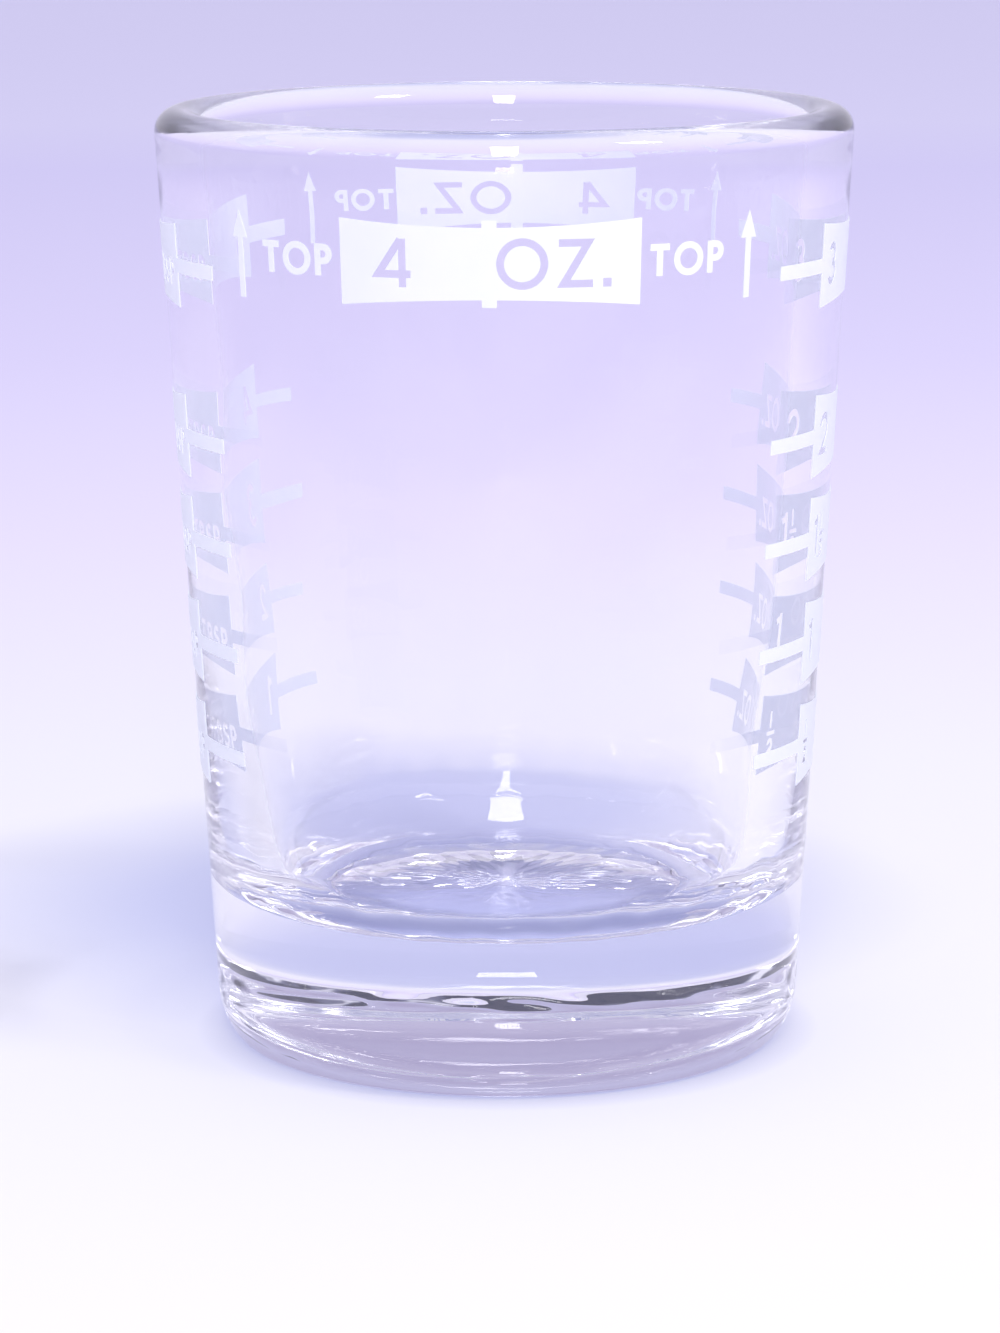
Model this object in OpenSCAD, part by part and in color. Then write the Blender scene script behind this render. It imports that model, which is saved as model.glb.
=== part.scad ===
// Measuring glass: a pressed tumbler with enamel graduations fired on its outside.
// Millimetres. Z is up, the origin is the centre of the foot, and the front faces -Y.
// Angles on the wall are degrees round the glass from the front, positive to the right.

/* [Glass] */
// Height from the surface it stands on to the top of the lip
height = 80.6; // [66:0.1:100]
// Outside diameter of the tapered wall, carried up to the rim
rim_d = 59.6; // [54:0.1:74]
// Outside diameter of the tapered wall, carried down to the foot
foot_d = 50.2; // [42:0.1:58]
// Thickness of the wall above the bend, measured level
wall_t = 4; // [2.5:0.05:5]
// Height at which the inside begins to bend in towards the floor
bend_z = 46; // [38:0.5:56]
// Radius of the long bend below that height
bend_r = 330; // [200:5:500]
// Radius of the corner from the bend to the floor
floor_r = 6.5; // [3:0.1:9]
// Thickness of the solid base
base_t = 12.2; // [8:0.1:20]
// Radius of the round heel, where the wall turns in towards the foot
heel_r = 6.8; // [4:0.1:9]
// Angle from upright at which the heel ends
heel_a = 38; // [25:1:55]
// Radius of the small round from the heel to the ring that the glass stands on
foot_r = 1; // [0.5:0.1:2]
// Width of the flat ring that the glass stands on
stand_w = 3; // [2:0.1:6]
// Depth of the shallow recess under the base, inside the standing ring
recess_h = 0.5; // [0.2:0.1:1.5]
// Width of the slope round the recess
recess_slope_w = 1.5; // [0.5:0.1:3]

/* [Enamel] */
// Thickness of the fired enamel
enamel_t = 0.15; // [0.1:0.01:0.25]
// How far the ends of each panel's top and bottom edges stand past their middles
panel_sag = 0.6; // [0.2:0.1:1]

/* [Capacity panels] */
// Distance from the rim down to a capacity panel's upper corners
capacity_drop = 6.9; // [5:0.1:12]
// Height of a capacity panel at its ends
capacity_h = 7; // [5:0.1:9]
// Half of the angle that a capacity panel covers
capacity_half_a = 24.2; // [16:0.1:25]
// Width of the small tab in the middle of a capacity panel's edges
tab_w = 1.2; // [0.6:0.1:2]

/* [Fill arrows] */
// Angle from the middle of a capacity panel to an arrow
arrow_a = 44.6; // [42:0.1:48]
// Length of an arrow
arrow_h = 7.1; // [5:0.1:9]
// Length of an arrow's head
arrow_head_h = 2.2; // [1.5:0.1:3]
// Width of an arrow's head
arrow_head_w = 1.7; // [1.2:0.1:2.4]
// Width of an arrow's stem
arrow_stem_w = 0.6; // [0.4:0.1:0.9]

/* [Side marks] */
// Gap between the two side panels that lie closest together
side_gap = 1.7; // [0.6:0.1:3]
// Half of the angle that the highest side panel covers
side_high_half_a = 23.1; // [16:0.1:30]
// Half of the angle that the lowest side panel covers
side_low_half_a = 19.6; // [14:0.1:30]
// Angle from the middle of a side column to the outer end of its ticks
tick_end_a = 37; // [34:0.1:40]
// Width of a tick
tick_w = 1.2; // [0.6:0.1:2]

/* [Hidden] */
$fn = 128;
arc_fn = 720;
front_a = 0;
right_a = 90;
back_a = 180;
left_a = 270;

// Outside of the wall: its radius at height z, its slope, and the length of its slant for a rise of one
outer_slope = (rim_d - foot_d) / 2 / height;
outer_slant = sqrt(1 + outer_slope * outer_slope);
function outer_r(z) = foot_d / 2 + outer_slope * z;

// Direction of a line that runs out from the centre of a round and down by an angle
function way(a) = [cos(a), -sin(a)];
wall_way = [1, -outer_slope] / outer_slant;

// The heel's round is tangent to the wall at heel_end, and the foot's small round is tangent to the heel
heel_way = way(heel_a);
heel_z = foot_r - (heel_r - foot_r) * heel_way[1];
heel_c = [outer_r(heel_z) - heel_r * outer_slant, heel_z];
heel_end = heel_c + heel_r * wall_way;
foot_c = heel_c + (heel_r - foot_r) * heel_way;

// The lip is one full round that is tangent to both sides of the wall
lip_r = wall_t / outer_slant / 2;
lip_c = [outer_r(height - lip_r) - lip_r * outer_slant, height - lip_r];
lip_out = lip_c + lip_r * wall_way;
lip_in = lip_c - lip_r * wall_way;

// Inside, the bend is tangent to the wall at bend_start, and the floor corner to the bend at bend_end
bend_start = [outer_r(bend_z) - wall_t, bend_z];
bend_c = bend_start - bend_r * wall_way;
bend_way = way(asin((bend_c[1] - base_t - floor_r) / (bend_r - floor_r)));
bend_end = bend_c + bend_r * bend_way;
floor_c = bend_c + (bend_r - floor_r) * bend_way;

// Volume inside, summed in thin slices from the floor to the rim, as pairs of volume and height
slices = 240;
slice_h = (height - base_t) / slices;
function slice_z(i) = base_t + i * slice_h;
function round_r(c, r, z) = c[0] + sqrt(r ^ 2 - (c[1] - z) ^ 2);
function bowl_r(z) = z > bend_z ? outer_r(z) - wall_t
    : z > bend_end[1] ? round_r(bend_c, bend_r, z)
    : round_r(floor_c, floor_r, z);
function slice_volume(i) = PI * bowl_r(slice_z(i) + slice_h / 2) ^ 2 * slice_h;
fill_table = [for (i = 0, v = 0; i <= slices; v = v + slice_volume(i), i = i + 1) [v, slice_z(i)]];
brimful = fill_table[slices][0];

// Full to the rim is four fluid ounces, so half an ounce, or one tablespoon, is an eighth of that. The levels are
// given in half ounces from the lowest up, with how far each one's print stands above the level in this bowl.
half_ounces = 8;
levels = [1, 2, 3, 4, 6];
lifts = [2.9, 2.3, 2.5, 2.9, 1.6];
last_level = len(levels) - 1;
function true_z(i) = lookup(brimful * levels[i] / half_ounces, fill_table);
function mark_z(i) = true_z(i) + lifts[i];
side_h = min([for (i = [1:last_level]) mark_z(i) - mark_z(i - 1)]) - side_gap;

// Side panels widen steadily from the lowest to the highest
function side_half_a(z) = side_low_half_a
    + (side_high_half_a - side_low_half_a) * (z - mark_z(0)) / (mark_z(last_level) - mark_z(0));

// Distance sideways, seen square on, of a point at height z and angle a from the middle of a mark
function across(z, a) = outer_r(z) * sin(a);

// Slice of the heel's round, between its two tangents
module heel_slice() {
    past_round = 1.5 * heel_r;
    intersection() {
        translate(heel_c) circle(heel_r);
        polygon([heel_c, heel_c + past_round * heel_way, heel_c + past_round * wall_way]);
    }
}

// Level band of the inside that one round bounds, from the axis out
module bowl_band(c, r, low, high) {
    intersection() {
        translate(c) circle(r, $fn = arc_fn);
        translate([0, low]) square([rim_d / 2, high - low]);
    }
}

module glass_section() {
    recess_r = foot_c[0] - stand_w;
    difference() {
        union() {
            polygon([[0, recess_h], [recess_r - recess_slope_w, recess_h], [recess_r, 0], [foot_c[0], 0],
                     foot_c, heel_end, lip_out, lip_c, lip_in,
                     bend_start, bend_end, [floor_c[0], base_t], [0, base_t]]);
            heel_slice();
            translate(foot_c) circle(foot_r);
            translate(lip_c) circle(lip_r);
        }
        bowl_band(bend_c, bend_r, bend_end[1], bend_z);
        bowl_band(floor_c, floor_r, base_t, bend_end[1]);
    }
}

// Radius of an arc with this half width and sag
function arc_r(half_w) = (half_w ^ 2 + panel_sag ^ 2) / 2 / panel_sag;

// Bow-tie outline: its ends follow the wall's slant, and its top and bottom edges are hollow arcs
module bow_tie(z, h, half_a) {
    top = z + h / 2;
    bottom = z - h / 2;
    top_arc = arc_r(across(top, half_a));
    bottom_arc = arc_r(across(bottom, half_a));
    blank_top = top + panel_sag;
    blank_bottom = bottom - panel_sag;
    difference() {
        polygon([[-across(blank_bottom, half_a), blank_bottom], [across(blank_bottom, half_a), blank_bottom],
                 [across(blank_top, half_a), blank_top], [-across(blank_top, half_a), blank_top]]);
        translate([0, top - panel_sag + top_arc]) circle(top_arc, $fn = arc_fn);
        translate([0, bottom + panel_sag - bottom_arc]) circle(bottom_arc, $fn = arc_fn);
    }
}

// Lays a flat outline on the wall as enamel: the outline runs straight in, and only the skin of it is kept
module enamel(a, bottom, top) {
    low = bottom - 1;
    high = top + 1;
    color("white")
        rotate([0, 0, a])
            intersection() {
                rotate_extrude()
                    polygon([[outer_r(low), low], [outer_r(low) + enamel_t, low],
                             [outer_r(high) + enamel_t, high], [outer_r(high), high]]);
                rotate([90, 0, 0]) linear_extrude(rim_d) children();
            }
}

module capacity_panel(a) {
    z = height - capacity_drop - capacity_h / 2;
    enamel(a, z - capacity_h / 2, z + capacity_h / 2) {
        bow_tie(z, capacity_h, capacity_half_a);
        translate([0, z]) square([tab_w, capacity_h], center = true);
    }
}

module fill_arrow(a) {
    tip = height - capacity_drop;
    neck = tip - arrow_head_h;
    tail = tip - arrow_h;
    enamel(a, tail, tip) {
        polygon([[-arrow_head_w / 2, neck], [arrow_head_w / 2, neck], [0, tip]]);
        translate([-arrow_stem_w / 2, tail]) square([arrow_stem_w, arrow_h - arrow_head_h / 2]);
    }
}

// The lower edge of a tick is the fill line
module side_mark(a, level) {
    z = mark_z(level) + tick_w / 2;
    reach = across(z, tick_end_a);
    enamel(a, z - side_h / 2, z + side_h / 2) {
        bow_tie(z, side_h, side_half_a(z));
        translate([0, z]) square([2 * reach, tick_w], center = true);
    }
}

module tumbler() {
    color("lavender", 0.4) rotate_extrude() glass_section();
}

module front_capacity_panel() { capacity_panel(front_a); }
module back_capacity_panel() { capacity_panel(back_a); }

module front_left_arrow() { fill_arrow(front_a - arrow_a); }
module front_right_arrow() { fill_arrow(front_a + arrow_a); }
module back_left_arrow() { fill_arrow(back_a - arrow_a); }
module back_right_arrow() { fill_arrow(back_a + arrow_a); }

module half_ounce_mark() { side_mark(right_a, 0); }
module one_ounce_mark() { side_mark(right_a, 1); }
module one_and_a_half_ounce_mark() { side_mark(right_a, 2); }
module two_ounce_mark() { side_mark(right_a, 3); }
module three_ounce_mark() { side_mark(right_a, 4); }

module one_spoon_mark() { side_mark(left_a, 0); }
module two_spoon_mark() { side_mark(left_a, 1); }
module three_spoon_mark() { side_mark(left_a, 2); }
module four_spoon_mark() { side_mark(left_a, 3); }
module six_spoon_mark() { side_mark(left_a, 4); }

echo(brimful_ml = brimful / 1000, true_heights = [for (i = [0:last_level]) true_z(i)],
     mark_heights = [for (i = [0:last_level]) mark_z(i)], side_h = side_h);

tumbler();
front_capacity_panel();
back_capacity_panel();
front_left_arrow();
front_right_arrow();
back_left_arrow();
back_right_arrow();
half_ounce_mark();
one_ounce_mark();
one_and_a_half_ounce_mark();
two_ounce_mark();
three_ounce_mark();
one_spoon_mark();
two_spoon_mark();
three_spoon_mark();
four_spoon_mark();
six_spoon_mark();
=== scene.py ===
import math
import bpy
import numpy as np
from mathutils import Matrix, Vector
from mathutils.geometry import delaunay_2d_cdt


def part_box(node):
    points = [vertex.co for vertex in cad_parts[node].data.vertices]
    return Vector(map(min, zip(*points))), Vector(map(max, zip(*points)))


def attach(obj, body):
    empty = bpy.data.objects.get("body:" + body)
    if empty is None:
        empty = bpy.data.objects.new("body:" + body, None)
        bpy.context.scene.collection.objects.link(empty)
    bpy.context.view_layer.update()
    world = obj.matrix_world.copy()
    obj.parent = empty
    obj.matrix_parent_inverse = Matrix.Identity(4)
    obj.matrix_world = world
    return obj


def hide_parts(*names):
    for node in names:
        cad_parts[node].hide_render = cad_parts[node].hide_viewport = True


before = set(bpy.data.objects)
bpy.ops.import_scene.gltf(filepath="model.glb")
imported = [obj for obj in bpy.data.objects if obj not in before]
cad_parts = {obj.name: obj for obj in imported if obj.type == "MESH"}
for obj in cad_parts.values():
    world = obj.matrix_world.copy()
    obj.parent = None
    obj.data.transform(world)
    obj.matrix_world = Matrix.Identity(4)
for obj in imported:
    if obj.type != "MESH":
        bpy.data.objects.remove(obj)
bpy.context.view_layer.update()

scene = bpy.context.scene
scene.view_settings.view_transform = "Standard"
mm = 0.001

# Camera
# It stands 0.4 m in front of the glass, a little to the right of the front panel, and looks down on it a
# little. The long lens shows the rim as a flat ellipse.
picture_h = 1333
focal_px = 4749
sensor_h = 36
nearest_seen = 0.01
furthest_seen = 50
heading = math.radians(2.5)
down = math.radians(11.08)
roll = math.radians(-0.22)
camera_back = 404.73 * mm
camera_side = -0.539 * mm
camera_up = 111.245 * mm

camera_data = bpy.data.cameras.new("camera")
camera_data.sensor_fit = "VERTICAL"
camera_data.sensor_height = sensor_h
camera_data.lens = focal_px * sensor_h / picture_h
camera_data.clip_start = nearest_seen
camera_data.clip_end = furthest_seen
camera = bpy.data.objects.new("camera", camera_data)
scene.collection.objects.link(camera)
turn = Matrix.Rotation(heading, 4, "Z")
gaze_down = Matrix.Rotation(math.pi / 2 - down, 4, "X") @ Matrix.Rotation(roll, 4, "Z")
camera.matrix_world = turn @ Matrix.Translation((camera_side, -camera_back, camera_up)) @ gaze_down
scene.camera = camera


# Table
# A sheet of pale paper that shades from white beside the glass to lavender further off, a painted falloff of
# the light. It lies a hair below the glass. Painted shade makes it darker and bluer under the base, a
# painted contact shadow darkens it under the standing ring, and a painted shadow of the glass lies in a spot
# behind it.
class Wire:
    """One output socket of a node. Arithmetic on wires and numbers adds Math nodes to the same tree."""

    def __init__(self, tree, socket=None):
        self.tree = tree
        self.socket = socket

    def add(self, kind, settings=None, inputs=None, output=0):
        """Adds a node, sets its settings, then its inputs by name or number, and returns one output."""
        node = self.tree.nodes.new(kind)
        for name, value in (settings or {}).items():
            if name == "stops":
                ramp = node.color_ramp
                while len(ramp.elements) < len(value):
                    ramp.elements.new(1)
                for element, (place, color) in zip(ramp.elements, value):
                    element.position = place
                    element.color = (*color, 1)
            else:
                setattr(node, name, value)
        for name, value in (inputs or {}).items():
            if isinstance(value, Wire):
                self.tree.links.new(value.socket, node.inputs[name])
            else:
                node.inputs[name].default_value = value
        return Wire(self.tree, node.outputs[output] if node.outputs else None)

    def math(self, operation, a, b=0.0, clamp=False):
        """The result of one Math node on two numbers, held between 0 and 1 if it is clamped."""
        settings = {"operation": operation, "use_clamp": clamp}
        return self.add("ShaderNodeMath", settings, {0: a, 1: b})

    def ramp(self, value, stops):
        """The colour at a number, between the colours of the stops on either side of it."""
        return self.add("ShaderNodeValToRGB", {"stops": stops}, {0: value})

    def mix_colors(self, share, a, b, blend="MIX"):
        """The first colour, moved by a share towards its blend with the second."""
        settings = {"data_type": "RGBA", "blend_type": blend}
        return self.add("ShaderNodeMix", settings, {"Factor": share, "A": a, "B": b}, output="Result")

    def mix_shaders(self, share, a, b):
        """A share of the second shader and the rest of the first."""
        return self.add("ShaderNodeMixShader", None, {0: share, 1: a, 2: b})

    def __add__(self, other):
        return self.math("ADD", self, other)

    def __radd__(self, other):
        return self.math("ADD", other, self)

    def __sub__(self, other):
        return self.math("SUBTRACT", self, other)

    def __rsub__(self, other):
        return self.math("SUBTRACT", other, self)

    def __mul__(self, other):
        return self.math("MULTIPLY", self, other)

    def __rmul__(self, other):
        return self.math("MULTIPLY", other, self)

    def __truediv__(self, other):
        return self.math("DIVIDE", self, other)


def new_material(name):
    """Returns an empty node material and the wire that its nodes are added from."""
    material = bpy.data.materials.new(name)
    material.use_nodes = True
    material.node_tree.nodes.clear()
    return material, Wire(material.node_tree)


paper_half = 4.0
paper_drop = 0.03 * mm
# Painted shade: the paper is darker and bluer under the glass's base, and a painted contact shadow darkens
# it under the standing ring
painted_base_shade = (0.80, 0.82, 0.93)
painted_ring_shadow = (0.44, 0.45, 0.58)
beside_glass = (0.84, 0.835, 0.865)
far_off = (0.80, 0.77, 0.96)

paper_mesh = bpy.data.meshes.new("paper")
signs = ((-1, -1), (1, -1), (1, 1), (-1, 1))
paper_corners = [(across * paper_half, along * paper_half, -paper_drop) for across, along in signs]
paper_mesh.from_pydata(paper_corners, [], [(0, 1, 2, 3)])
paper = bpy.data.objects.new("paper", paper_mesh)
scene.collection.objects.link(paper)

# The stops of the two ramps stand at distances in metres: from the glass's axis, and from the middle of the
# painted shadow behind it
paper_look, wire = new_material("pale_paper")
place = wire.add("ShaderNodeTexCoord", output="Object")
from_axis = wire.add("ShaderNodeVectorMath", {"operation": "LENGTH"}, {0: place}, output="Value")
# Painted falloff of the light: the paper turns dimmer and lavender further from the glass
paper_with_painted_shade = wire.ramp(from_axis, [
    (0.0, painted_base_shade), (0.009, painted_base_shade), (0.015, painted_ring_shadow), (0.0222, painted_ring_shadow),
    (0.0245, beside_glass), (0.12, beside_glass), (0.27, (0.83, 0.78, 0.93)),
    (0.47, (0.78, 0.73, 0.94)), (0.85, (0.76, 0.72, 0.95)), (1.0, far_off)])
# Painted shadow: a soft darker, bluer spot on the paper behind the glass stands for the glass's cast shadow
painted_shadow_middle = (-12 * mm, 46 * mm, 0)
from_painted_shadow = wire.add("ShaderNodeVectorMath", {"operation": "DISTANCE"}, {0: place, 1: painted_shadow_middle},
                     output="Value")
painted_shadow = wire.ramp(from_painted_shadow, [(0.0, (0.62, 0.65, 0.86)), (0.024, (0.67, 0.70, 0.88)), (0.052, (1, 1, 1))])
paper_with_painted_shadows = wire.mix_colors(1.0, paper_with_painted_shade, painted_shadow, "MULTIPLY")
paper_surface = wire.add("ShaderNodeBsdfPrincipled", None, {
    "Base Color": paper_with_painted_shadows, "Roughness": 0.8, "Specular IOR Level": 0.2})
wire.add("ShaderNodeOutputMaterial", None, {"Surface": paper_surface})
paper_mesh.materials.append(paper_look)

# Room
# A soft pale room lights the glass from all round, with two rectangular lamps. Its far side shows only
# through the glass, and is dimmer, with dark furniture in a band just above the table's edge.
world = bpy.data.worlds.new("room")
world.use_nodes = True
world.node_tree.nodes.clear()
scene.world = world
wire = Wire(world.node_tree)
direction = wire.add("ShaderNodeTexCoord", output="Generated")
upward = wire.add("ShaderNodeSeparateXYZ", None, {0: direction}, output="Z")
away = wire.add("ShaderNodeSeparateXYZ", None, {0: direction}, output="Y")
pale_room = wire.ramp(upward, [
    (0.0, (0.80, 0.77, 0.95)), (0.3, (0.75, 0.73, 0.90)), (1.0, (0.75, 0.74, 0.88))])

furniture_low = 0.02
furniture_high = 0.135
far_wall = wire.ramp(upward, [
    (0.0, (0.82, 0.79, 0.97)), (0.14, (0.52, 0.50, 0.74)), (0.30, (0.42, 0.38, 0.60)),
    (0.45, (0.52, 0.48, 0.70)), (1.0, (0.60, 0.59, 0.82))])
lumps = wire.add("ShaderNodeTexNoise", None, {"Vector": direction, "Scale": 5.5, "Detail": 2})
furniture = wire.ramp(lumps, [
    (0.54, (0.07, 0.07, 0.12)), (0.61, (0.20, 0.20, 0.32)), (0.68, (0.85, 0.84, 1.0))])
above = upward.math("GREATER_THAN", upward, furniture_low)
below = upward.math("LESS_THAN", upward, furniture_high)
far_side = wire.mix_colors(above * below, far_wall, furniture)

far_from = 0.1
far_fade = 0.25
is_far = (away - far_from) / far_fade
far_share = is_far.math("MULTIPLY", is_far, 1.0, clamp=True)
through_glass = wire.add("ShaderNodeLightPath", output="Is Transmission Ray")
seen = wire.mix_colors(far_share * through_glass, pale_room, far_side)
glow = wire.add("ShaderNodeBackground", None, {"Color": seen, "Strength": 1.0})
wire.add("ShaderNodeOutputWorld", None, {"Surface": glow})


def soft_lamp(name, spot, aim, width, depth, power, color):
    """A rectangular lamp at one point, turned to face another."""
    lamp = bpy.data.lights.new(name, "AREA")
    lamp.shape = "RECTANGLE"
    lamp.size = width
    lamp.size_y = depth
    lamp.energy = power
    lamp.color = color
    holder = bpy.data.objects.new(name, lamp)
    scene.collection.objects.link(holder)
    gaze = (Vector(aim) - Vector(spot)).to_track_quat("-Z", "Y")
    holder.matrix_world = Matrix.Translation(spot) @ gaze.to_matrix().to_4x4()


glass_middle = (0, 0, 0.04)
soft_lamp("key_lamp", spot=(0.56, -0.33, 0.82), aim=glass_middle, width=0.16, depth=0.16, power=3.4,
          color=(1, 0.98, 0.93))
soft_lamp("front_lamp", spot=(0.033, -0.76, 0.45), aim=glass_middle, width=0.12, depth=0.66, power=2.9,
          color=(1, 1, 0.98))


# Tumbler
# Clear pressed glass with a thick solid base and a fire-polished lip. It is one surface of revolution, and
# the inside, which the plunger formed, is a little uneven, as pressed glass is.
_, glass_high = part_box("tumbler")
height = glass_high.z
rim_r = 29.8 * mm
foot_r = 25.1 * mm
wall_t = 4.0 * mm
bend_z = 46.0 * mm
bend_r = 330.0 * mm
base_t = 12.2 * mm
heel_round = 6.8 * mm
heel_turn = math.radians(38)
foot_round = 1.0 * mm
floor_round = 6.5 * mm
stand_w = 3 * mm
recess_h = 0.5 * mm
recess_slope_w = 1.5 * mm
edge_in = 0.15 * mm
edge_up = edge_in / 4
neck_depth = 0.07 * mm
neck_z = 75.3 * mm
neck_half = 2.5 * mm

outer_slope = (rim_r - foot_r) / height
outer_slant = math.hypot(1, outer_slope)


def outer_r(z):
    """Outside radius of the tapered wall: the foot's radius plus the slope times the height."""
    return foot_r + outer_slope * z


def arc(middle, radius, start, end, count):
    """Points on a circle: its middle plus the radius times the cosine and sine of evenly spaced angles."""
    angle = np.linspace(start, end, count)
    return np.column_stack([middle[0] + radius * np.cos(angle), middle[1] + radius * np.sin(angle)])


def line(start, end, count):
    """Evenly spaced points from one end of a line to the other."""
    share = np.linspace(0, 1, count)[:, None]
    return np.array(start) * (1 - share) + np.array(end) * share


def eased(start, end, count):
    """Points from one end of a line to the other that lie closer near both ends: each share is half of one
    less the cosine of an even angle."""
    share = (1 - np.cos(np.linspace(0, math.pi, count)))[:, None] / 2
    return np.array(start) * (1 - share) + np.array(end) * share


tilt = math.atan(outer_slope)
into_bowl = np.array((-math.cos(tilt), math.sin(tilt)))
heel_reach = np.array((math.cos(heel_turn), -math.sin(heel_turn))) * (heel_round - foot_round)
heel_z = foot_round - heel_reach[1]
heel_c = np.array((outer_r(heel_z) - heel_round * outer_slant, heel_z))
foot_c = heel_c + heel_reach
lip_r = wall_t / outer_slant / 2
lip_c = (outer_r(height - lip_r) - lip_r * outer_slant, height - lip_r)
bend_c = np.array((outer_r(bend_z) - wall_t, bend_z)) + bend_r * into_bowl
bend_turn = math.asin((bend_c[1] - base_t - floor_round) / (bend_r - floor_round))
floor_c = bend_c + (bend_r - floor_round) * np.array((math.cos(bend_turn), -math.sin(bend_turn)))
ring_r = foot_c[0] - stand_w
slope_r = ring_r - recess_slope_w

# The outline runs from the middle of the recess round the foot, up the outside, over the lip and down inside
foot_arc = arc(foot_c, foot_round, -math.pi / 2, -heel_turn, count=12)
heel_arc = arc(heel_c, heel_round, -heel_turn, -tilt, count=32)
lip_arc = arc(lip_c, lip_r, -tilt, math.pi - tilt, count=36)
bend_arc = arc(bend_c, bend_r, -tilt, -bend_turn, count=16)
floor_arc = arc(floor_c, floor_round, -bend_turn, -math.pi / 2, count=28)
profile = np.concatenate([
    line((0, recess_h), (slope_r - edge_in, recess_h), count=8),
    line((slope_r, recess_h - edge_up), (ring_r - edge_in, edge_up), count=5),
    line((ring_r, 0), foot_c - np.array((0, foot_round)), count=8)[:-1],
    foot_arc,
    heel_arc[1:],
    eased(heel_arc[-1], lip_arc[0], count=40)[1:-1],
    lip_arc,
    eased(lip_arc[-1], bend_arc[0], count=44)[1:-1],
    bend_arc,
    floor_arc[1:],
    line(floor_arc[-1], (0, base_t), count=18)[1:]])
lip_row = np.argmax(profile[:, 1])

# The bowl narrows a little at the neck, just below the lip
on_bowl = np.arange(len(profile)) > lip_row
neck = neck_depth * np.exp(-((profile[:, 1] - neck_z) / neck_half) ** 2)
profile[:, 0] += neck * on_bowl


def grid_faces(rows, columns):
    """Quads of a grid that is closed along its columns: each joins a point, the next one round and those
    above."""
    row = np.arange(rows - 1)[:, None] * columns
    here = np.arange(columns)[None, :]
    beside = (here + 1) % columns
    corners = [row + here, row + beside, row + columns + beside, row + columns + here]
    return np.stack(corners, -1).reshape(-1, 4)


def revolve(outline, angle, shift):
    """Surface of revolution: each outline point (r, z) goes to (r sin a, -r cos a, z) for each angle a, and
    moves along the outline's normal by the shift, but never below the table. Each end closes at a point."""
    columns = len(angle)
    step = np.gradient(outline, axis=0)
    normal = np.column_stack([step[:, 1], -step[:, 0]]) / np.hypot(step[:, 0], step[:, 1])[:, None]
    r = outline[:, :1] + normal[:, :1] * shift
    z = np.maximum(outline[:, 1:] + normal[:, 1:] * shift, 0)
    body = np.stack([r * np.sin(angle), -r * np.cos(angle), z], -1)[1:-1].reshape(-1, 3)
    rows = len(outline) - 2
    ends = np.array([[0, 0, outline[0, 1]], [0, 0, outline[-1, 1]]])
    here = np.arange(columns)
    beside = (here + 1) % columns
    top_row = (rows - 1) * columns
    under = np.column_stack([beside, here, np.full(columns, rows * columns)])
    over = np.column_stack([top_row + here, top_row + beside, np.full(columns, rows * columns + 1)])
    return np.concatenate([body, ends]), grid_faces(rows, columns), np.concatenate([under, over])


columns = 360
around = np.arange(columns) * 2 * math.pi / columns
along = np.concatenate([[0], np.cumsum(np.hypot(*np.diff(profile, axis=0).T))])
rng = np.random.default_rng(7)


def waves(count, turns, pace, size):
    """Sum of waves of one size, each the sine of whole turns round the glass times the sine of the length
    along the outline, at a pace in radians a millimetre. Turns, paces and starts come from even draws."""
    total = np.zeros((len(along), columns))
    for _ in range(count):
        turn_count = rng.integers(*turns)
        step = rng.uniform(*pace) / mm
        round_start, up_start = rng.uniform(0, 2 * math.pi, 2)
        total += np.sin(turn_count * around + round_start) * np.sin(step * along + up_start)[:, None]
    return total * size


# The bowl's unevenness fades in below the lip and out at the middle of the floor
plain_rim = 14 * mm
fade_below_lip = 12 * mm
fade_at_middle = 10 * mm
bowl_start = along[lip_row]
off_middle = np.clip((along[-1] - along) / fade_at_middle, 0, 1)
bowl_share = np.clip((along - bowl_start - plain_rim) / fade_below_lip, 0, 1) * off_middle
bowl_waves = waves(count=14, turns=(1, 12), pace=(0.1, 0.45), size=0.008 * mm)

# The plunger's nose chilled the glass, so the floor and its corner are rougher than the wall
nose_z = 22 * mm
nose_soft = 6 * mm
nose_share = np.clip((nose_z - profile[:, 1]) / nose_soft, 0, 1) * (along > bowl_start) * off_middle
nose_waves = waves(count=14, turns=(6, 34), pace=(0.4, 1.3), size=0.009 * mm)

# The seam lies where the mould's bottom plate met its wall, and is rippled at the back
seam_z = 0.9 * mm
seam_half = 0.6 * mm
at_foot = (profile[:, 0] > ring_r) & (along < bowl_start)
seam_share = np.exp(-((profile[:, 1] - seam_z) / seam_half) ** 2) * at_foot
at_back = (1 - np.cos(around)) / 2
seam_waves = waves(count=16, turns=(20, 60), pace=(1.0, 3.0), size=0.02 * mm)

uneven = bowl_waves * bowl_share[:, None] + nose_waves * nose_share[:, None]
uneven += seam_waves * seam_share[:, None] * at_back
points, sides, caps = revolve(profile, around, uneven)
tumbler_mesh = bpy.data.meshes.new("tumbler_glass")
tumbler_mesh.from_pydata(points.tolist(), [], sides.tolist() + caps.tolist())
tumbler_mesh.polygons.foreach_set("use_smooth", np.ones(len(tumbler_mesh.polygons), bool))
tumbler = bpy.data.objects.new("tumbler_glass", tumbler_mesh)
scene.collection.objects.link(tumbler)

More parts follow.
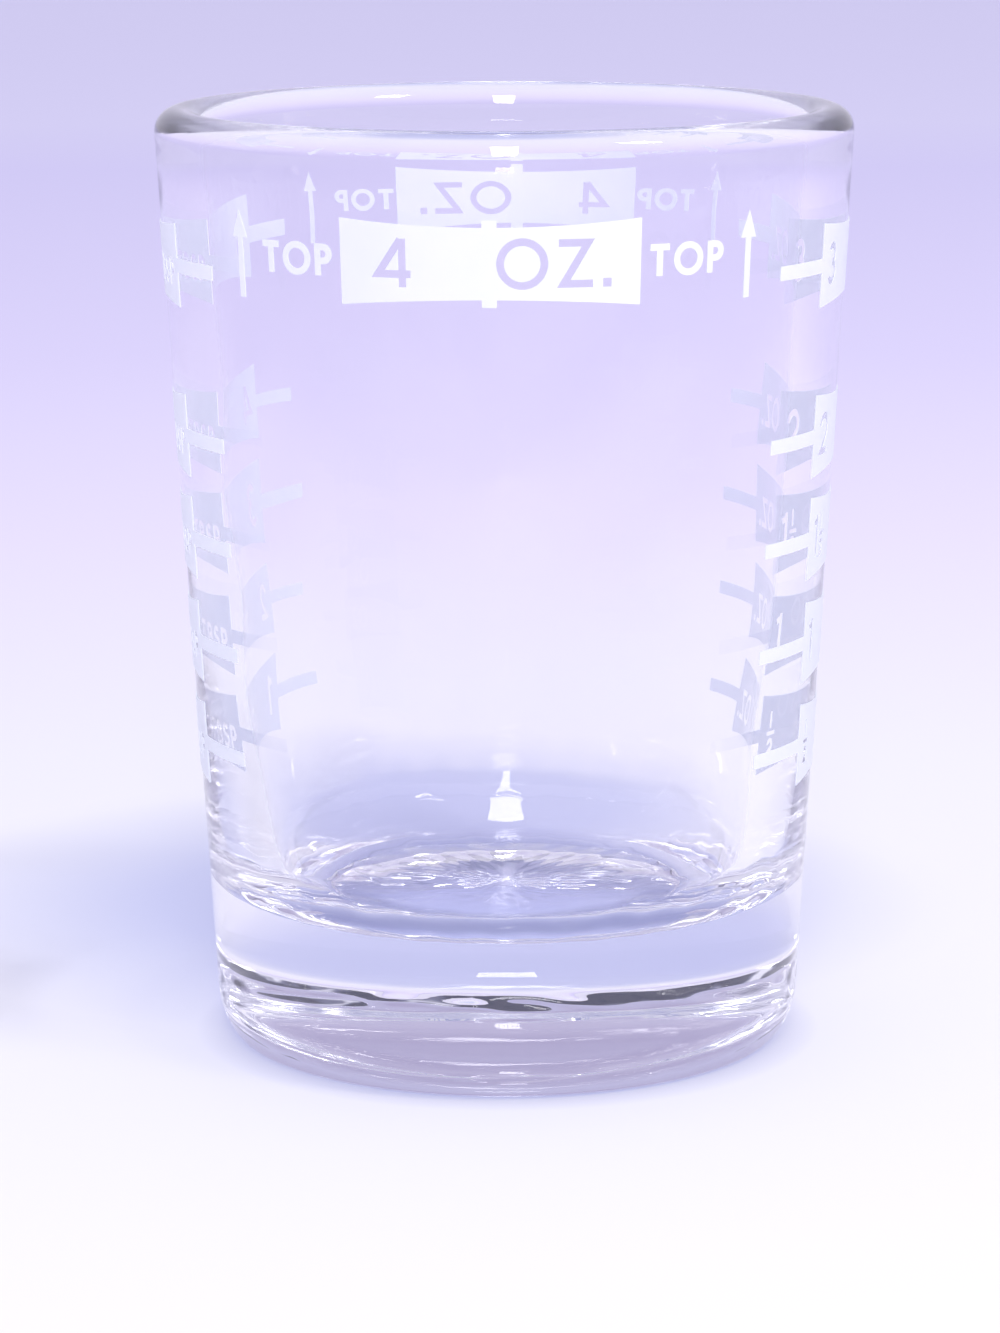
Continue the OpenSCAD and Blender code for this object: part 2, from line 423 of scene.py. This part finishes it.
# What the camera sees is refracted. Light from the lamps and soft light pass straight on with a tint, which
# is deeper below the floor of the bowl.
base_fade = 1 * mm
smear_roughness = 0.02
glass_look, wire = new_material("clear_pressed_glass")
place = wire.add("ShaderNodeTexCoord", output="Object")
ripple = wire.add("ShaderNodeTexNoise", None, {"Vector": place, "Scale": 90, "Detail": 1.5})
bump = wire.add("ShaderNodeBump", None, {"Height": ripple, "Strength": 0.1, "Distance": 0.1 * mm})
smear = wire.add("ShaderNodeTexNoise", None, {"Vector": place, "Scale": 260, "Detail": 3})
clear_glass = wire.add("ShaderNodeBsdfPrincipled", None, {
    "Base Color": (0.99, 0.985, 1, 1), "Roughness": smear * smear_roughness, "IOR": 1.52,
    "Transmission Weight": 1.0, "Normal": bump})
through_wall = wire.add("ShaderNodeBsdfTransparent", None, {"Color": (0.945, 0.95, 0.975, 1)})
through_base = wire.add("ShaderNodeBsdfTransparent", None, {"Color": (0.77, 0.79, 0.91, 1)})
up = wire.add("ShaderNodeSeparateXYZ", None, {0: place}, output="Z")
at_base = (base_t + base_fade - up) / base_fade
base_share = at_base.math("MULTIPLY", at_base, 1.0, clamp=True)
straight_on = wire.mix_shaders(base_share, through_wall, through_base)
for_lamps = wire.add("ShaderNodeLightPath", output="Is Shadow Ray")
for_soft_light = wire.add("ShaderNodeLightPath", output="Is Diffuse Ray")
glass_surface = wire.mix_shaders(for_lamps + for_soft_light, clear_glass, straight_on)
depth = wire.add("ShaderNodeVolumeAbsorption", None, {"Color": (0.48, 0.49, 0.62, 1), "Density": 2.0})
wire.add("ShaderNodeOutputMaterial", None, {"Surface": glass_surface, "Volume": depth})
tumbler_mesh.materials.append(glass_look)

# Light runs a long way up and down inside the wall, from one face to the other, before it comes out
light_steps = 80
scene.cycles.max_bounces = light_steps
scene.cycles.glossy_bounces = light_steps
scene.cycles.transmission_bounces = light_steps
scene.cycles.caustics_refractive = False
scene.cycles.caustics_reflective = False
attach(tumbler, "root")
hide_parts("tumbler")


# Capacity panels, words and fill arrows
# White ceramic enamel, screened on the outside of the wall and fired. Every mark is cut from a flat outline
# in millimetres, with its characters left open so that the glass shows, and laid on the wall as a thin skin.
enamel_outside = 0.10 * mm
enamel_inside = 0.015 * mm
cloud_roughness = 0.2
film_roughness = 0.28
grit_share = 0.4
cloud_share = 0.6
lit_through_share = 0.35
pinhole_share = 0.1

enamel_look, wire = new_material("white_fired_enamel")
place = wire.add("ShaderNodeTexCoord", output="Object")
cloud = wire.add("ShaderNodeTexNoise", None, {"Vector": place, "Scale": 220, "Detail": 4})
grit = wire.add("ShaderNodeTexNoise", None, {"Vector": place, "Scale": 2600, "Detail": 2})
white = wire.ramp(cloud, [(0.3, (0.93, 0.955, 0.975)), (0.7, (0.96, 0.975, 0.985))])
relief = grit * grit_share + cloud * cloud_share
bump = wire.add("ShaderNodeBump", None, {"Height": relief, "Strength": 0.35, "Distance": 0.03 * mm})
film = wire.add("ShaderNodeBsdfPrincipled", None, {
    "Base Color": white, "Roughness": film_roughness + cloud * cloud_roughness, "Normal": bump})
lit_through = wire.add("ShaderNodeBsdfTranslucent", None, {"Color": (0.95, 0.97, 0.99, 1)})
pinholes = wire.add("ShaderNodeBsdfTransparent", None, {"Color": (1, 1, 1, 1)})
lit_film = wire.mix_shaders(lit_through_share, film, lit_through)
enamel_surface = wire.mix_shaders(pinhole_share, lit_film, pinholes)
wire.add("ShaderNodeOutputMaterial", None, {"Surface": enamel_surface})


def stroke(path, width):
    """Outline of a line of one width with square ends: each point moves half the width to both sides, along
    the mitre of the two runs that meet there."""
    path = np.array(path, float)
    run = np.diff(path, axis=0)
    run /= np.hypot(run[:, 0], run[:, 1])[:, None]
    side = np.column_stack([-run[:, 1], run[:, 0]])
    before = np.concatenate([side[:1], side])
    after = np.concatenate([side, side[-1:]])
    mitre = (before + after) / (1 + np.sum(before * after, axis=1))[:, None]
    return [np.concatenate([path + mitre * width / 2, (path - mitre * width / 2)[::-1]])]


def ring(middle, outer, width):
    """Outlines of a ring: two circles, one the stroke's width inside the other."""
    return [arc(middle, radius, 0, 2 * math.pi, count=49)[:-1] for radius in (outer, outer - width)]


def upright(x, h, pen):
    """A stroke of full height."""
    return stroke([(x, 0), (x, h)], pen)


def loop_off_stem(stem, top, bottom, middle, radius, pen):
    """A stroke that leaves the stem at the top, bends round a half circle and comes back at the bottom."""
    half_circle = arc(middle, radius, math.pi / 2, -math.pi / 2, count=17)
    return stroke(np.concatenate([[(stem, top)], half_circle, [(stem, bottom)]]), pen)


# Each character's function gives its width and its shapes, for a height and a pen of one width
def letter_o(h, pen):
    """A ring, slightly higher than the other letters."""
    r = 0.53 * h
    return 2 * r, [ring((r, h / 2), r, pen)]


def letter_z(h, pen):
    """Two level bars and the slant between them, in one stroke."""
    w = 0.76 * h
    bar_in = 0.02 * h
    corner_in = 0.13 * h
    low, high = pen / 2, h - pen / 2
    return w, [stroke([(bar_in, high), (w - corner_in, high), (corner_in, low), (w - bar_in, low)], pen)]


def letter_t(h, pen):
    """A level bar on an upright."""
    w = 0.66 * h
    bar_z = h - pen / 2
    return w, [stroke([(0, bar_z), (w, bar_z)], pen), upright(w / 2, h, pen)]


def letter_p(h, pen):
    """An upright with one loop."""
    half_pen = pen / 2
    high = h - half_pen
    bend = 0.3 * h
    bowl = 0.27 * h
    middle = (bend, high - bowl + half_pen / 2)
    loop = loop_off_stem(half_pen, high, h - 2 * bowl, middle, bowl - half_pen / 2, pen)
    return bend + bowl + half_pen / 2, [upright(half_pen, h, pen), loop]


def letter_b(h, pen):
    """An upright with two loops, of which the lower is larger."""
    half_pen = pen / 2
    high = h - half_pen
    upper_r = 0.24 * h - half_pen / 2
    lower_r = (h - pen - 2 * upper_r) / 2
    upper_middle = (0.3 * h, high - upper_r)
    lower_middle = (0.32 * h, half_pen + lower_r)
    upper = loop_off_stem(half_pen, high, high - 2 * upper_r, upper_middle, upper_r, pen)
    lower = loop_off_stem(half_pen, half_pen + 2 * lower_r, half_pen, lower_middle, lower_r, pen)
    return lower_middle[0] + lower_r + half_pen, [upright(half_pen, h, pen), upper, lower]


def letter_s(h, pen):
    """Two arcs in one stroke, of which the lower is larger."""
    half_pen = pen / 2
    middle = 0.3 * h
    upper_r = (h - pen) * 0.235
    lower_r = (h - pen) / 2 - upper_r
    open_at = 0.12 * math.pi
    closed_at = -0.88 * math.pi
    upper = arc((middle, h - half_pen - upper_r), upper_r, open_at, 1.5 * math.pi, count=19)
    lower = arc((middle, half_pen + lower_r), lower_r, math.pi / 2, closed_at, count=19)
    return middle + lower_r + half_pen, [stroke(np.concatenate([upper, lower[1:]]), pen)]


def full_stop(h, pen):
    """A square dot."""
    dot = 1.15 * pen
    return dot, [stroke([(dot / 2, 0), (dot / 2, dot)], dot)]


def figure_1(h, pen):
    """An upright with a flag to the left of its top."""
    half_pen = pen / 2
    w = 0.3 * h
    stem = w - half_pen
    flag_low = 0.80 * h
    flag_high = h - 1.4 * half_pen
    return w, [stroke([(0.0, flag_low), (stem, flag_high)], pen), upright(stem, h, pen)]


def figure_2(h, pen):
    """An arc, a slant and a level foot, in one stroke."""
    half_pen = pen / 2
    r = 0.27 * h
    w = 2 * (r + half_pen)
    foot_left = 0.16 * h
    open_at = 0.95 * math.pi
    slant_from = -0.18 * math.pi
    top = arc((r + half_pen, h - half_pen - r), r, open_at, slant_from, count=19)
    return w, [stroke(np.concatenate([top, [(foot_left, half_pen), (w, half_pen)]]), pen)]


def figure_3(h, pen):
    """Two arcs that meet in the middle, of which the lower is larger."""
    half_pen = pen / 2
    upper_r = (h - pen) * 0.23
    lower_r = (h - pen) / 2 - upper_r
    middle = lower_r + half_pen
    open_at = 0.85 * math.pi
    upper = arc((middle, h - half_pen - upper_r), upper_r, open_at, -math.pi / 2, count=19)
    lower = arc((middle, half_pen + lower_r), lower_r, math.pi / 2, -open_at, count=21)
    return 2 * middle, [stroke(upper, pen), stroke(lower, pen)]


def figure_4(h, pen):
    """A slant and a level bar in one stroke, across an upright."""
    half_pen = pen / 2
    w = 0.80 * h
    stem = 0.62 * h
    bar_left = 0.10 * h
    bar_z = 0.27 * h
    top = (stem - half_pen * 0.4, h - half_pen * 0.2)
    return w, [stroke([top, (bar_left, bar_z), (w, bar_z)], pen), upright(stem, h, pen)]


def figure_6(h, pen):
    """A ring with a neck that leans to the right."""
    r = 0.31 * h
    top = (0.52 * h, h)
    bend = (0.30 * h, 0.72 * h)
    on_ring = (pen / 2 + 0.02 * h, r + 0.06 * h)
    return 2 * r, [ring((r, r), r, pen), stroke([top, bend, on_ring], pen)]


characters = {"O": letter_o, "Z": letter_z, "T": letter_t, "P": letter_p, "B": letter_b, "S": letter_s,
              ".": full_stop, "1": figure_1, "2": figure_2, "3": figure_3, "4": figure_4, "6": figure_6}


def moved(shapes, right, up):
    """The shapes with every outline moved to the right and up."""
    return [[loop + (right, up) for loop in shape] for shape in shapes]


def word(text, cap, pen, gap, left, bottom):
    """Shapes of a row of characters with its lower left corner at a point, and the row's right end."""
    shapes = []
    for character in text:
        width, drawn = characters[character](cap, pen)
        shapes += moved(drawn, left, bottom)
        left += width + gap
    return shapes, left - gap


panel_sag = 0.6


def bow_tie(half_w, bottom, top):
    """Panel outline: upright ends, and top and bottom edges that dip in the middle by the sag times one less
    the square of the place along them."""
    s = np.linspace(-1, 1, 41)
    dip = panel_sag * (1 - s * s)
    upper = np.column_stack([s * half_w, top - dip])
    lower = np.column_stack([s * half_w, bottom + dip])
    return [np.concatenate([lower, upper[::-1]])]


def rectangle(left, bottom, right, top):
    """Outline from its four edges."""
    return [np.array([(left, bottom), (right, bottom), (right, top), (left, top)], float)]


def inside(loop, points):
    """Whether points lie inside a closed outline: an odd number of its edges cross the ray to the right."""
    x, y = points[:, :1], points[:, 1:]
    x0, y0 = loop[:, 0], loop[:, 1]
    x1, y1 = np.roll(x0, -1), np.roll(y0, -1)
    crosses = (y0 > y) != (y1 > y)
    rise = np.where(y1 == y0, 1, y1 - y0)
    return np.sum(crosses & (x < x0 + (x1 - x0) * (y - y0) / rise), axis=1) % 2 == 1


def covered(shapes, points):
    """Whether points lie in any of the shapes. A shape is an outline with the outlines of its holes."""
    hit = np.zeros(len(points), bool)
    for shape in shapes:
        hit |= sum(inside(loop, points).astype(int) for loop in shape) % 2 == 1
    return hit


mesh_step = 0.45
clear_of_rim = mesh_step / 3
same_point = 1e-5
all_triangles = 0
crease = math.radians(50)


def spaced(loop):
    """The outline with points added so that none of its edges is longer than the mesh step."""
    after = np.roll(loop, -1, axis=0)
    count = np.maximum(1, np.ceil(np.hypot(*(after - loop).T) / mesh_step).astype(int))
    return np.concatenate([a + (b - a) * np.arange(n)[:, None] / n for a, b, n in zip(loop, after, count)])


def flat_mesh(solid, cut):
    """Points and triangles that fill flat shapes: a Delaunay mesh of the outlines and an even grid, kept
    where a solid shape and no cut shape covers it, and turned one way round."""
    loops = [spaced(loop) for shape in solid + cut for loop in shape]
    starts = np.cumsum([0] + [len(loop) for loop in loops])
    edges = [(first + i, first + (i + 1) % len(loop)) for first, loop in zip(starts, loops)
             for i in range(len(loop))]
    rim = np.concatenate(loops)
    low, high = rim.min(0), rim.max(0)
    across, up = np.meshgrid(np.arange(low[0], high[0], mesh_step), np.arange(low[1], high[1], mesh_step))
    grid = np.column_stack([across.ravel(), up.ravel()])
    gap = np.hypot(grid[:, :1] - rim[:, 0], grid[:, 1:] - rim[:, 1]).min(axis=1)
    flat = np.concatenate([rim, grid[gap > clear_of_rim]])
    found = delaunay_2d_cdt([Vector(p) for p in flat], edges, [], all_triangles, same_point)
    flat = np.array([tuple(p) for p in found[0]])
    triangles = np.array(found[2])
    middle = flat[triangles].mean(axis=1)
    triangles = triangles[covered(solid, middle) & ~covered(cut, middle)]
    used, triangles = np.unique(triangles, return_inverse=True)
    triangles = triangles.reshape(-1, 3)
    flat = flat[used]
    a, b, c = (flat[triangles[:, k]] for k in range(3))
    area = (b[:, 0] - a[:, 0]) * (c[:, 1] - a[:, 1]) - (b[:, 1] - a[:, 1]) * (c[:, 0] - a[:, 0])
    triangles[area < 0] = triangles[area < 0][:, ::-1]
    return flat, triangles


def enamel_piece(name, bearing, radius, solid, cut):
    """Skin on the wall from flat shapes. A flat point (s, z) goes to the bearing plus s over the radius, at
    the wall's own radius at z plus the film's outer and inner distance from the wall. A side that belongs to
    one triangle only is a rim, and the rims of the two skins are joined."""
    flat, triangles = flat_mesh(solid, cut)
    count = len(flat)
    sides = np.concatenate([triangles[:, [0, 1]], triangles[:, [1, 2]], triangles[:, [2, 0]]])
    key = sides[:, 0] * count + sides[:, 1]
    back = sides[:, 1] * count + sides[:, 0]
    border = sides[~np.isin(key, back)]
    walls = np.column_stack([border[:, 1], border[:, 0], border[:, 0] + count, border[:, 1] + count])

    angle = bearing + flat[:, 0] * mm / radius
    z = flat[:, 1] * mm
    skins = []
    for lift in (enamel_outside, enamel_inside):
        r = outer_r(z) + lift
        skins.append(np.column_stack([r * np.sin(angle), -r * np.cos(angle), z]))
    faces = triangles.tolist() + (triangles[:, ::-1] + count).tolist() + walls.tolist()
    mesh = bpy.data.meshes.new(name)
    mesh.from_pydata(np.concatenate(skins).tolist(), [], faces)
    mesh.polygons.foreach_set("use_smooth", np.ones(len(faces), bool))
    mesh.set_sharp_from_angle(angle=crease)
    mesh.materials.append(enamel_look)
    piece = bpy.data.objects.new(name, mesh)
    scene.collection.objects.link(piece)
    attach(piece, "root")
    return piece


panel_half_a = math.radians(24.2)
panel_cap = 3.9
panel_pen = 0.62
numeral_left = -9.45
unit_left = 0.55
unit_gap = 0.75
tab_w = 1.2
word_cap = 2.6
word_pen = 0.55
word_gap = 0.42
arrow_a = math.radians(44.6)
head_half_w = 0.85
head_h = 2.2
shaft_half_w = 0.3
shaft_below_tip = 1.1

# Each face of the glass: its name, its bearing and the distance of its words' middles from its own
for face, bearing, word_middle in (("front", 0.0, 16.6), ("back", math.pi, 16.1)):
    low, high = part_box(face + "_capacity_panel")
    bottom, top = low.z / mm, high.z / mm
    radius = outer_r((low.z + high.z) / 2)
    half_w = panel_half_a * radius / mm
    middle = (bottom + top) / 2
    base_line = middle - panel_cap / 2
    solid = [bow_tie(half_w, bottom, top), rectangle(-tab_w / 2, bottom, tab_w / 2, top)]
    numeral, _ = word("4", panel_cap, panel_pen, 0, numeral_left, base_line)
    unit, _ = word("OZ.", panel_cap, panel_pen, unit_gap, unit_left, base_line)
    panel = enamel_piece(face + "_capacity_print", bearing, radius, solid, numeral + unit)
    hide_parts(face + "_capacity_panel")
    for side, sign in (("left", -1), ("right", 1)):
        letters, _ = word("TOP", word_cap, word_pen, word_gap, 0, middle - word_cap / 2)
        wide = max(loop[:, 0].max() for shape in letters for loop in shape)
        letters = moved(letters, sign * word_middle - wide / 2, 0)
        enamel_piece(face + "_" + side + "_word", bearing, radius, letters, [])
        arrow_low, arrow_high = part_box(face + "_" + side + "_arrow")
        tip, tail = arrow_high.z / mm, arrow_low.z / mm
        head = [np.array([(-head_half_w, tip - head_h), (head_half_w, tip - head_h), (0, tip)])]
        shaft = rectangle(-shaft_half_w, tail, shaft_half_w, tip - shaft_below_tip)
        arrow_name = face + "_" + side + "_fill_arrow"
        arrow = enamel_piece(arrow_name, bearing + sign * arrow_a, radius, [head, shaft], [])
        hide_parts(face + "_" + side + "_arrow")

# Ounce and spoon marks
# Five more panels up the right side, in ounces, and five up the left, in spoons, of the same enamel and
# fired with the rest. Each has a tick at both ends, and its numeral and unit are left open.
highest_half_a = math.radians(23.1)
lowest_half_a = math.radians(19.6)
tick_end_a = math.radians(37)
tick_w = 1.2
numeral_in = 1.3
numeral_cap = 3.6
numeral_pen = 0.58
numeral_gap = 0.5
unit_in = 1.0
unit_pen = 0.45
letter_gap = 0.42
fraction_step = 2.1


def one_half(left, middle):
    """Shapes of the fraction one half: a small 1, a bar and a small 2, from the left end of the bar."""
    cap = 1.5
    pen = 0.4
    bar_w = 1.6
    bar_pen = 0.35
    upper_in, upper_lift = 0.35, 0.45
    lower_in, lower_drop = 0.15, 1.95
    upper, _ = word("1", cap, pen, 0, left + upper_in, middle + upper_lift)
    lower, _ = word("2", cap, pen, 0, left + lower_in, middle - lower_drop)
    return upper + lower + [stroke([(left, middle), (left + bar_w, middle)], bar_pen)]


# Each side of the glass: its bearing, its marks from the lowest up with their numerals, and its unit with
# the unit's height. In a numeral, h stands for the fraction one half.
ounce_rows = (("half_ounce", "h"), ("one_ounce", "1"), ("one_and_a_half_ounce", "1h"), ("two_ounce", "2"),
              ("three_ounce", "3"))
spoon_rows = (("one_spoon", "1"), ("two_spoon", "2"), ("three_spoon", "3"), ("four_spoon", "4"),
              ("six_spoon", "6"))
right_side = (math.pi / 2, ounce_rows, "OZ.", 2.7)
left_side = (-math.pi / 2, spoon_rows, "TBSP", 2.3)
for bearing, rows, unit_text, unit_cap in (right_side, left_side):
    middles = [sum(corner.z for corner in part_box(name + "_mark")) / 2 for name, _ in rows]
    for (name, numeral_text), z_middle in zip(rows, middles):
        low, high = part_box(name + "_mark")
        bottom, top = low.z / mm, high.z / mm
        middle = z_middle / mm
        base_line = middle - numeral_cap / 2
        radius = outer_r(z_middle)
        share = (z_middle - middles[0]) / (middles[-1] - middles[0])
        half_w = (lowest_half_a + (highest_half_a - lowest_half_a) * share) * radius / mm
        reach = tick_end_a * radius / mm
        tick = rectangle(-reach, middle - tick_w / 2, reach, middle + tick_w / 2)
        left = -half_w + numeral_in
        cut = []
        for character in numeral_text:
            if character == "h":
                cut += one_half(left, middle)
                left += fraction_step
            else:
                drawn, right = word(character, numeral_cap, numeral_pen, 0, left, base_line)
                cut += drawn
                left = right + numeral_gap
        unit, end = word(unit_text, unit_cap, unit_pen, letter_gap, 0, base_line)
        cut += moved(unit, half_w - unit_in - end, 0)
        solid = [bow_tie(half_w, bottom, top), tick]
        mark = enamel_piece(name + "_print", bearing, radius, solid, cut)
        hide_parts(name + "_mark")
